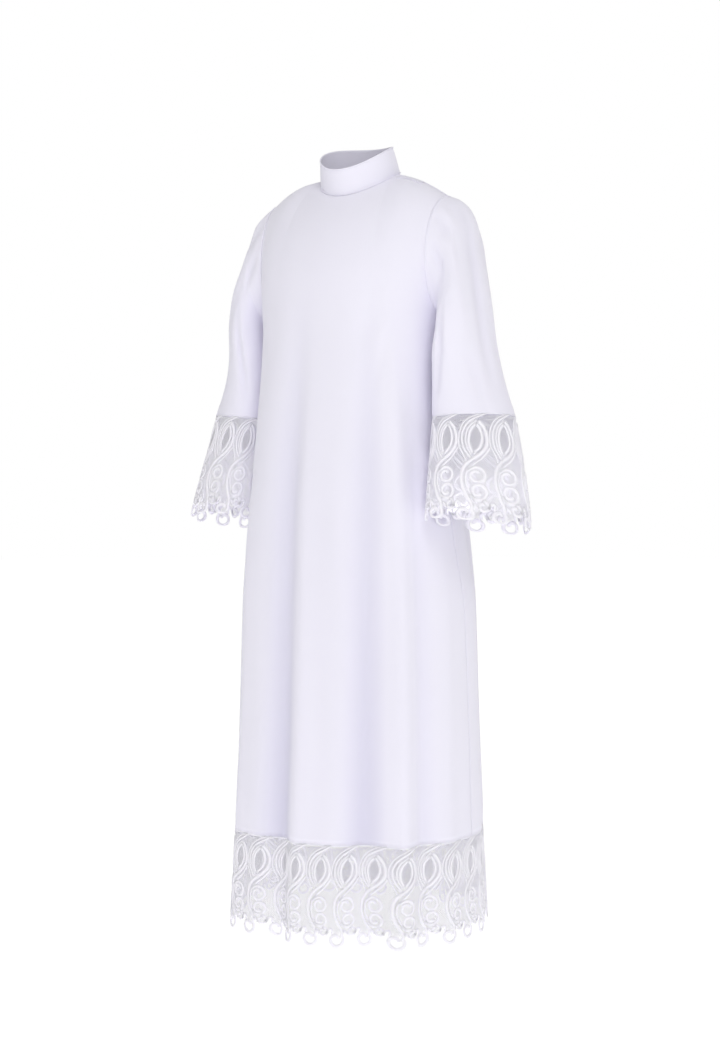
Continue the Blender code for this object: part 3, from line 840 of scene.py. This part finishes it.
# %% Node trees for ridges and stitches
def geometry_tree(name, inputs):
    """A tree's given sockets, a way to add a node to it, and a way to finish it."""
    inputs = [("Geometry", "Geometry"), *inputs, ("Material", "Material")]
    tree, given, made = new_group(name, inputs, [("Geometry", "Geometry")], "Geometry")

    def add(kind, values, **settings):
        node = tree.nodes.new(kind if kind.startswith(("Function", "Shader")) else "GeometryNode" + kind)
        for label, value in settings.items():
            setattr(node, label, value)
        return feed(tree, node, values).outputs[0]

    def finish(source):
        realized = add("RealizeInstances", {"Geometry": source})
        painted = add("SetMaterial", {"Geometry": realized, "Material": given["Material"]})
        tree.links.new(painted, made["Geometry"])
        return tree

    return given, add, finish


def cord_tree():
    """A round cord along each chain of edges, one flat side outward, pressed, and repeated in a row."""
    inputs = [("Sides", "Int"), ("Flatness", "Float"), ("Pitch", "Float"), ("Repeats", "Int")]
    given, add, finish = geometry_tree("cords", inputs + [("Closed Ends", "Bool")])
    curve = add("MeshToCurve", {"Mesh": given["Geometry"]})
    ring = add("CurvePrimitiveCircle", {"Resolution": given["Sides"], "Radius": 1.0})
    half_side = add("ShaderNodeMath", {0: np.pi, 1: given["Sides"]}, operation="DIVIDE")
    turn = add("ShaderNodeCombineXYZ", {"Z": half_side})
    faced = add("Transform", {"Geometry": ring, "Rotation": turn})
    radius = add("InputRadius", {})
    ends = given["Closed Ends"]
    cords = add("CurveToMesh", {"Curve": curve, "Profile Curve": faced, "Scale": radius, "Fill Caps": ends})
    flat = add("ShaderNodeCombineXYZ", {"X": 1.0, "Y": 1.0, "Z": given["Flatness"]})
    pressed = add("Transform", {"Geometry": cords, "Scale": flat})
    step = add("ShaderNodeCombineXYZ", {"X": given["Pitch"]})
    places = add("MeshLine", {"Count": given["Repeats"], "Offset": step})
    return finish(add("InstanceOnPoints", {"Points": places, "Instance": pressed}))


def stitch_tree():
    """Small grains at even steps along each chain of edges, lying along it."""
    inputs = [("Pitch", "Float"), ("Length", "Float"), ("Thickness", "Float")]
    given, add, finish = geometry_tree("stitches", inputs)
    curve = add("MeshToCurve", {"Mesh": given["Geometry"]})
    even = add("ResampleCurve", {"Curve": curve, "Length": given["Pitch"]}, mode="LENGTH")
    grain = add("MeshIcoSphere", {"Radius": 0.5, "Subdivisions": 1})
    thickness = given["Thickness"]
    size = add("ShaderNodeCombineXYZ", {"X": given["Length"], "Y": thickness, "Z": thickness})
    shaped = add("Transform", {"Geometry": grain, "Scale": size})
    turn = add("FunctionNodeAlignRotationToVector", {"Vector": add("InputTangent", {})}, axis="X")
    return finish(add("InstanceOnPoints", {"Points": even, "Instance": shaped, "Rotation": turn}))


cords_tree, stitches_tree = cord_tree(), stitch_tree()
print("trees:", cords_tree.name, stitches_tree.name)


# %% Running a tree on chains of points
def chain_object(name, chains, radii):
    """Chains of points as edges, each with its cord's radius."""
    points, edges, radius = [], [], []
    for chain, width in zip(chains, radii):
        start = len(points)
        points += [tuple(float(value) for value in point) for point in chain]
        edges += [(start + step, start + step + 1) for step in range(len(chain) - 1)]
        radius += [float(width)] * len(chain)
    mesh = bpy.data.meshes.new(name)
    mesh.from_pydata(points, edges, [])
    mesh.attributes.new("radius", "FLOAT", "POINT").data.foreach_set("value", radius)
    return link_object(name, mesh)


def run_tree(source, tree, material, values):
    """The mesh that a tree makes from an object, with its inputs set by identifier."""
    values = {**values, "Material": material}
    modifier = source.modifiers.new("nodes", "NODES")
    modifier.node_group = tree
    for item in tree.interface.items_tree:
        if item.item_type == "SOCKET" and item.in_out == "INPUT" and item.name in values:
            modifier[item.identifier] = values[item.name]
    graph = bpy.context.evaluated_depsgraph_get()
    graph.update()
    mesh = bpy.data.meshes.new_from_object(source.evaluated_get(graph), depsgraph=graph)
    bpy.data.objects.remove(source, do_unlink=True)
    return mesh


def mesh_arrays(mesh):
    """Points and triangles or quads of a mesh as arrays."""
    points = np.empty(len(mesh.vertices) * 3, dtype=np.float32)
    mesh.vertices.foreach_get("co", points)
    faces = [tuple(face.vertices) for face in mesh.polygons]
    return points.reshape(-1, 3).astype(float), faces


print("chain tools ready")

# %% [markdown]
# The seams run round the collar's foot, over the shoulders, round the armholes, down the sides and where the
# cloth meets the lace. Each path is read off the same form functions as the cloth, moved out by a hair, so
# that ridge and stitches lie on the sheet.

# %% Seam paths
RIDGE_RADIUS = 0.0012
RIDGE_VALUES = {"Sides": 8, "Flatness": 1.0, "Pitch": 0.0, "Repeats": 1, "Closed Ends": True}
STITCH_VALUES = {"Pitch": 0.0030, "Length": 0.0022, "Thickness": 0.0004}
STITCH_LIFT = 0.0003  # how far out from the sheet a stitch's middle lies
COLLAR_RIDGES = [(0.0, 0.0008), (0.985, 0.0002)]  # share of the collar's height, and how far out
COLLAR_STITCHES = [(0.9, 0.0004), (0.09, 0.0004)]
HEM_STITCH_HEIGHT = HEM_LACE_HEIGHT + 0.0030
CUFF_STITCH_PLACE = len(SLEEVE) - 1 - 0.14
PLACKET_LIFT = CLOTH + 0.0004
PLACKET_SIDES = (PLACKET_ACROSS[0] + 0.02, PLACKET_ACROSS[1] - 0.02)
PLACKET_TOP, PLACKET_LOW = 0.995, PLACKET_END + 0.01


def pushed_out(point, middle=0.0):
    """Points moved level and away from a middle, so that stitches lie on the sheet."""
    return point + STITCH_LIFT * unit((point - middle) * np.array([1, 1, 0]))


def hem_path(face, columns=260):
    across = np.linspace(-1, 1, columns)
    return pushed_out(body_point(panel_angle(across, face), np.full(columns, HEM_STITCH_HEIGHT)))


def side_path(side):
    return body_point(0.0 if side > 0 else 180.0, np.linspace(UNDERARM_HEIGHT, HEM_LACE_HEIGHT, 60))


def armhole_path(side):
    point = sleeve_point(side, np.linspace(-180, 180, 90), np.full(90, 0.01))
    return point + np.array([side * 0.0003, 0, 0])


def shoulder_path(side):
    across = np.linspace(NECK_SHARE, 1, 24) * side
    return (top_point(across, -1) + top_point(across, 1)) / 2


def cuff_join_path(side, columns=120):
    point = sleeve_point(side, np.linspace(-180, 180, columns), np.full(columns, CUFF_STITCH_PLACE))
    return pushed_out(point, point.mean(axis=0))


def collar_path(up, lift, columns=150):
    angles = np.linspace(COLLAR_LAP_ANGLE - 359, COLLAR_LAP_ANGLE + COLLAR_LAP, columns)
    return collar_point(angles, np.full(columns, up), collar_move(angles) + lift)


def placket_path(start, end):
    across, up = np.linspace(start, end, 24).T
    return over_front(across, up, PLACKET_LIFT)


def add_made(name, mesh):
    mesh.name = name
    mesh.shade_smooth()
    print(name + ":", len(mesh.polygons), "faces")
    return link_object(name, mesh)


ridges = [collar_path(*line) for line in COLLAR_RIDGES]
stitches = [collar_path(*line) for line in COLLAR_STITCHES] + [hem_path(-1), hem_path(1)]
stitches += [placket_path((across, PLACKET_TOP), (across, PLACKET_LOW)) for across in PLACKET_SIDES]
stitches += [placket_path(*((across, PLACKET_LOW) for across in PLACKET_SIDES))]
for side in (1, -1):
    ridges += [side_path(side), armhole_path(side), shoulder_path(side)]
    stitches += [cuff_join_path(side)]
ridge_source = chain_object("ridges", ridges, [RIDGE_RADIUS] * len(ridges))
seam_ridges = add_made("seam_ridges", run_tree(ridge_source, cords_tree, white_cloth, RIDGE_VALUES))
stitch_source = chain_object("stitches", stitches, [1.0] * len(stitches))
stitch_mesh = run_tree(stitch_source, stitches_tree, sewing_thread, STITCH_VALUES)
seam_stitches = add_made("seam_stitches", stitch_mesh)

# %% [markdown]
# ## Guipure lace
# Guipure is embroidered cord and bars on a ground that is washed away, so it's all thread and air. One repeat
# is drawn here with smooth strokes in millimetres, x along the band and y down from the cloth as a negative:
# a leaf-shaped eye, a long double stem that sways from it down to a round loop at the edge, and curled
# scrolls in the bay between two stems. Short bars tie the cords, and a diamond net fills the rest.

# %% One repeat of the lace
REPEAT = 54.0
BAND = 184.0
HEM_REPEATS = 28
CUFF_REPEATS = 9
CELL_LEFT = -44.0
CORD_STEP = 2.8
CURVE_POINTS, SCROLL_POINTS = 24, 26


def smooth_stroke(points, step=CORD_STEP):
    """A smooth curve through points, in even steps."""
    points = np.array(points, float)
    wide = np.vstack([2 * points[0] - points[1], points, 2 * points[-1] - points[-2]])
    share = np.linspace(0, 1, CURVE_POINTS, endpoint=False)[:, None]
    fine = [smooth_between(*four, share) for four in zip(wide, wide[1:], wide[2:], wide[3:])]
    fine = np.vstack(fine + [points[-1:]])
    run = lengths_along(fine[:, None], 0)[:, 0]
    even = np.linspace(0, run[-1], max(2, int(round(run[-1] / step)) + 1))
    return np.stack([np.interp(even, run, fine[:, axis]) for axis in range(2)], -1)


def scroll(x, y, radius, start, sweep, inner, hold=0.35):
    """A curl: an arc that draws in after its first part."""
    share = np.linspace(0, 1, SCROLL_POINTS)
    size = blend(radius, inner, np.clip((share - hold) / (1 - hold), 0, 1))
    cos, sin = circle(start + sweep * share)
    return list(zip(x + size * cos, y + size * sin))


EYE_LEFT = [(5, -21), (-5, -31), (-9.5, -44), (-8.5, -57), (-3, -69)]
EYE_RIGHT = [(5, -21), (11, -31), (13.5, -44), (8.5, -58), (-3, -69)]
EYE_ECHO = [(7, -16), (-8, -27), (-15, -43), (-13, -58), (-6, -72)]
STEM_OUTER = [(25, 0), (10, -8), (-6, -17), (-17, -29), (-21.5, -44), (-19, -59), (-11, -72), (-5, -79)]
STEM_OUTER_ECHO = [(17, 0), (2, -6), (-13, -15), (-23, -28), (-27.5, -43), (-26.5, -57), (-20, -70)]
STEM_OUTER_ECHO += [(-14, -84)]
STEM = [(9, -17), (18, -28), (22, -43), (19, -57), (8, -70), (-6, -80), (-17, -91), (-22, -105), (-22, -122)]
STEM += [(-16, -138), (-8, -151), (-6.3, -157)]
STEM_ECHO = [(26, -58), (14, -74), (0, -86), (-11, -97), (-15.5, -108), (-15.5, -121), (-10, -135)]
STEM_ECHO += [(-3, -146)]
EDGE_CORD = [(17, -158), (21, -152), (25, -150), (28, -153), (27, -160)]
EDGE_SHORT = [(-5, -152), (-1, -155), (3, -160)]
LOOP = scroll(-17, -169.5, 12, 40, -370, 4.5, 0.62)
HIGH_SCROLL = scroll(1, -107, 13.5, 150, -480, 5)
LOW_SCROLL = scroll(3, -134, 12.5, -160, 490, 4.5)
SMALL_SCROLL = scroll(10, -155, 8, 100, -400, 3)

lace_cords = [  # points, width
    (EYE_LEFT, 5.6),
    (EYE_RIGHT, 5.6),
    (EYE_ECHO, 3.9),
    (STEM_OUTER, 4.6),
    (STEM_OUTER_ECHO, 3.6),
    (STEM + LOOP, 7.0),
    (STEM_ECHO, 4.0),
    (HIGH_SCROLL, 6.2),
    (LOW_SCROLL, 6.2),
    (SMALL_SCROLL, 5.4),
    (EDGE_CORD, 5.4),
    (EDGE_SHORT, 5.4),
    ([(CELL_LEFT, -0.6), (CELL_LEFT + REPEAT, -0.6)], 2.4),
]
cord_strokes = [(smooth_stroke(points), width) for points, width in lace_cords]
print("cord in one repeat:", round(sum(len(stroke) * CORD_STEP for stroke, _ in cord_strokes)), "mm")


# %% Bars between the cords
def bars_between(first, second, gap=3.6, trim=0.06):
    """Short ties between two strokes, evenly spaced."""
    first, second = smooth_stroke(first, 1.0), smooth_stroke(second, 1.0)
    count = max(2, int(min(len(first), len(second)) / gap))
    shares = np.linspace(trim, 1 - trim, count)
    one = first[(shares * (len(first) - 1)).astype(int)]
    two = second[(shares * (len(second) - 1)).astype(int)]
    return [np.stack([a, b]) for a, b in zip(one, two)]


lace_bars = bars_between(EYE_LEFT, EYE_ECHO)
lace_bars += bars_between(EYE_ECHO, STEM_OUTER[2:], 4.0)
lace_bars += bars_between(STEM_OUTER, STEM_OUTER_ECHO, 3.4)
lace_bars += bars_between(EYE_RIGHT, STEM[:5], 3.4)
lace_bars += bars_between(STEM[4:11], STEM_ECHO[1:], 3.4)
ZIGZAG = [(-27 + 3.0 * step, -4.0 if step % 2 else -10.0) for step in range(14)]
zigzag_bars = [np.array([a, b]) for a, b in zip(ZIGZAG, ZIGZAG[1:])]
print("bars in one repeat:", len(lace_bars) + len(zigzag_bars))

# %% [markdown]
# The net is two families of slanting threads that cross at even steps. It stops at the band's lower outline,
# which rises between the loops. Inside the eye a second, thinner net lies half a step beside the first.

# %% The net
NET_PITCH = REPEAT / 14
NET_WIDTH, EYE_NET_WIDTH = 1.3, 0.8
LOWER_EDGE_X = [-44, -37, -32, -27, -22, -12, -5, 2, 10]
LOWER_EDGE_Y = [-163, -158, -152, -155, -159, -159, -154, -158, -163]
EYE_CENTRE, EYE_HALF = (1.5, -45.0), (11.0, 25.0)
EYE_LEAN = 0.12


def in_band(x, y):
    around_cell = (x - CELL_LEFT) % REPEAT + CELL_LEFT
    return (y < 0) & (y > np.interp(around_cell, LOWER_EDGE_X, LOWER_EDGE_Y))


def in_eye(x, y):
    above = y - EYE_CENTRE[1]
    across = (x - EYE_CENTRE[0] - above * EYE_LEAN) / EYE_HALF[0]
    return in_band(x, y) & (np.abs(across) + (above / EYE_HALF[1]) ** 2 < 1)


def net_strands(shift, wanted):
    """Slanted threads between the crossings of a net, where wanted says so."""
    strands = []
    for way in (1, -1):
        for column in range(int(round(REPEAT / NET_PITCH))):
            for row in range(int(BAND / NET_PITCH)):
                start = np.array([CELL_LEFT + column * NET_PITCH + shift, -row * NET_PITCH])
                end = start + np.array([way * NET_PITCH, -NET_PITCH])
                if all(wanted(*place) for place in (start, (start + end) / 2, end)):
                    strands.append(np.stack([start, end]))
    return strands


net, eye_net = net_strands(0.0, in_band), net_strands(NET_PITCH / 2, in_eye)
print("net strands in one repeat:", len(net), "and in the eye:", len(eye_net))

# %% [markdown]
# The flat strip comes out of the cord tree in two pieces: the raised cords, and the ground of bars and net
# behind them. Then every point is carried onto the band: its x becomes an angle, its y a height, and its
# thickness a step along the surface normal. The strip keeps its real pitch, so the loops fall on the lobes
# of the frame's own edge.

# %% The flat strip and its wrapping
CORD_FLATNESS = 0.5
BAR_WIDTH = 1.7
LACE_DEPTH = 0.0007  # how far the middle of the thread lies behind the outer face
CORD_RAISE, BAR_RAISE, NET_RAISE = 0.25, 0.0, -0.15  # steps in the relief, in millimetres


def raise_chains(chains, height):
    return [np.column_stack([chain, np.full(len(chain), height)]) for chain in chains]


def flat_strip(runs, repeats):
    """Points in millimetres and faces of a row of repeats."""
    parts, offset, faces = [], 0, []
    for name, chains, radii, sides, flatness, closed_ends in runs:
        values = {"Sides": sides, "Flatness": flatness, "Pitch": REPEAT, "Repeats": repeats}
        source = chain_object(name, chains, radii)
        made = run_tree(source, cords_tree, lace_thread, {**values, "Closed Ends": closed_ends})
        points, corners = mesh_arrays(made)
        parts.append(points)
        faces += [tuple(corner + offset for corner in face) for face in corners]
        offset += len(points)
    points = np.vstack(parts)
    points[:, 0] -= CELL_LEFT
    return points, faces


cord_chains = raise_chains([stroke for stroke, _ in cord_strokes], CORD_RAISE)
bar_chains = raise_chains(lace_bars + zigzag_bars, BAR_RAISE)
net_chains = raise_chains(net + eye_net, NET_RAISE)
cord_radii = [width / 2 for _, width in cord_strokes]
net_radii = [NET_WIDTH / 2] * len(net) + [EYE_NET_WIDTH / 2] * len(eye_net)
# each run: name, chains, radii, sides, flatness, closed ends
CORD_RUNS = [("lace_cords", cord_chains, cord_radii, 6, CORD_FLATNESS, True)]
GROUND_RUNS = [
    ("lace_bars", bar_chains, [BAR_WIDTH / 2] * len(bar_chains), 4, 0.6, False),
    ("lace_net", net_chains, net_radii, 3, 0.5, False),
]


def wrap_strip(points, surface):
    """Carries a flat strip onto a surface(x, down) with x in repeats and down from 0 to 1."""
    x, down, thick = points[:, 0] / REPEAT, -points[:, 1] / BAND, points[:, 2] / 1000
    step = 0.004
    here = surface(x, down)
    across = surface(x + step, down) - surface(x - step, down)
    downward = surface(x, down + step) - surface(x, down - step)
    return here + unit(np.cross(downward, across)) * (thick - LACE_DEPTH)[:, None]


def hem_surface(face):
    def surface(x, down):
        across = (-1 + 2 * x / (HEM_REPEATS / 2)) * (-1 if face > 0 else 1)
        return body_point(panel_angle(across, face), HEM_LACE_HEIGHT - down * (HEM_LACE_HEIGHT - HEM_HEIGHT))

    return surface


def cuff_surface(side):
    """The bell of one cuff, started on the side that faces the body."""
    first = -180 if side > 0 else 170
    return lambda x, down: cuff_point(side, first + side * 360 * x / CUFF_REPEATS, down)


def lace_piece(name, strip, surface):
    points, faces = strip
    mesh = bpy.data.meshes.new(name)
    mesh.from_pydata(wrap_strip(points, surface).tolist(), [], faces)
    mesh.materials.append(lace_thread)
    made = add_made(name, mesh)
    print(name, "triangles:", sum(len(face) - 2 for face in faces))
    return made


HEM_HALF = HEM_REPEATS // 2
BANDS = {
    "hem_front": (HEM_HALF, hem_surface(-1)),
    "hem_back": (HEM_HALF, hem_surface(1)),
    "cuff_left": (CUFF_REPEATS, cuff_surface(1)),
    "cuff_right": (CUFF_REPEATS, cuff_surface(-1)),
}
strips = {}
for repeats in (HEM_HALF, CUFF_REPEATS):
    strips[repeats] = flat_strip(GROUND_RUNS, repeats), flat_strip(CORD_RUNS, repeats)
lace, raised_cords = {}, {}
for band, (repeats, surface) in BANDS.items():
    ground, cords = strips[repeats]
    lace[band] = lace_piece("lace_" + band, ground, surface)
    raised_cords[band] = lace_piece("lace_cords_" + band, cords, surface)

# %% [markdown]
# ## Attaching the pieces
# Each sheet is listed with the size of the cloth it was cut from and the solid of the frame it stands for,
# which is hidden. The sheets, seam ridges, stitches and lace cords are attached to the root body.

# %% Sheets and bodies
PIECES = [  # piece, replaced node, cut width and length, cut area, how it's held, what it rests on, slot
    (body_front, "body_front", (0.78, 1.25), 0.776, "hung", "wearer_shoulders", "cloth"),
    (body_back, "body_back", (0.76, 1.25), 0.758, "hung", "wearer_shoulders", "cloth"),
    (sleeve_left, "sleeve_left", (0.54, 0.40), 0.139, "hung", "body_front", "cloth"),
    (sleeve_right, "sleeve_right", (0.54, 0.40), 0.140, "hung", "body_front", "cloth"),
    (collar, "collar", (0.50, 0.052), 0.025, "stretched", "body_front", "cloth"),
    (placket, "shoulder_placket", (0.045, 0.05), 0.002, "laid", "body_front", "cloth"),
    (lace["hem_front"], "hem_lace_front", (0.77, 0.184), 0.138, "hung", "body_front", "lace"),
    (lace["hem_back"], "hem_lace_back", (0.75, 0.184), 0.135, "hung", "body_back", "lace"),
    (lace["cuff_left"], "sleeve_lace_left", (0.55, 0.20), 0.102, "hung", "sleeve_left", "lace"),
    (lace["cuff_right"], "sleeve_lace_right", (0.56, 0.20), 0.106, "hung", "sleeve_right", "lace"),
]
named = {node: piece for piece, node, *_ in PIECES}
for piece, node, flat, area, held, rests, finish in PIECES:
    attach(piece, "root")
    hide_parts(node)
    cords = [raised_cords[band] for band in lace if lace[band] is piece]
for piece in (seam_ridges, seam_stitches, *raised_cords.values()):
    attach(piece, "root")
print("pieces declared:", len(PIECES) + 2 + len(raised_cords))

# %% [markdown]
# ## Room and light
# The room is all white: a wide floor, even light from all round, and one large soft lamp high in front on the
# camera's side, which models the folds without hard shadows.

# %% Floor, sky and lamps
FLOOR_RADIUS = 14.0
FLOOR_GLOW = 0.55
SKY_SEEN, SKY_LIGHT = 1.0, 0.50
LAMP_AIM = (0, 0, -0.6)
KEY = {"azimuth": 37, "elevation": 40, "distance": 4.0, "size": 2.0, "watts": 49}
BOUNCES = [
    ("under_skirt", (0, 0, -1.46), 0.36, 0.35),
    ("in_left_cuff", (0.272, -0.032, -0.595), 0.09, 0.075),
    ("in_right_cuff", (-0.280, -0.020, -0.595), 0.09, 0.075),
]


def add_floor():
    turn = np.linspace(0, 2 * np.pi, 96, endpoint=False)
    ring = np.stack([np.cos(turn), np.sin(turn), 0 * turn], -1) * FLOOR_RADIUS - [0, 0, SHOULDER_HEIGHT]
    mesh = bpy.data.meshes.new("floor")
    mesh.from_pydata(ring.tolist(), [], [tuple(range(len(ring)))])
    looks = {"Base Color": (0.95, 0.95, 0.95, 1), "Roughness": 0.9, "Specular IOR Level": 0.1}
    glow = {"Emission Color": (1, 1, 1, 1), "Emission Strength": FLOOR_GLOW}
    mesh.materials.append(new_material("floor_white", {**looks, **glow})[0])
    link_object("floor", mesh)


def add_sky():
    world = bpy.data.worlds.new("sky")
    world.use_nodes = True
    tree = world.node_tree
    is_camera = tree.nodes.new("ShaderNodeLightPath").outputs["Is Camera Ray"]
    seen = new_node(tree, "MapRange", {"Value": is_camera, "To Min": SKY_LIGHT, "To Max": SKY_SEEN})
    feed(tree, tree.nodes["Background"], {"Color": (1, 1, 1, 1), "Strength": seen.outputs["Result"]})
    bpy.context.scene.world = world


def add_lamp(name, location, rotation, size, watts):
    data = bpy.data.lights.new(name, "AREA")
    data.shape, data.size, data.energy = "DISK", size, watts
    lamp = link_object(name, data)
    lamp.location, lamp.rotation_euler = location, rotation
    return lamp


def add_key(azimuth, elevation, distance, size, watts):
    turn, rise = np.radians(azimuth), np.radians(elevation)
    away = np.array([np.sin(turn) * np.cos(rise), -np.cos(turn) * np.cos(rise), np.sin(rise)])
    add_lamp("key", away * distance + LAMP_AIM, (np.pi / 2 - rise, 0, turn), size, watts)


def add_bounce(name, spot, size, watts):
    """A soft lamp that faces up into the skirt or a cuff, as a white board under it would."""
    add_lamp(name, spot, (np.pi, 0, 0), size, watts).visible_camera = False


add_floor()
add_sky()
add_key(**KEY)
for bounce in BOUNCES:
    add_bounce(*bounce)
bpy.context.scene.view_settings.view_transform = "Standard"
print("floor, sky and lamp set")
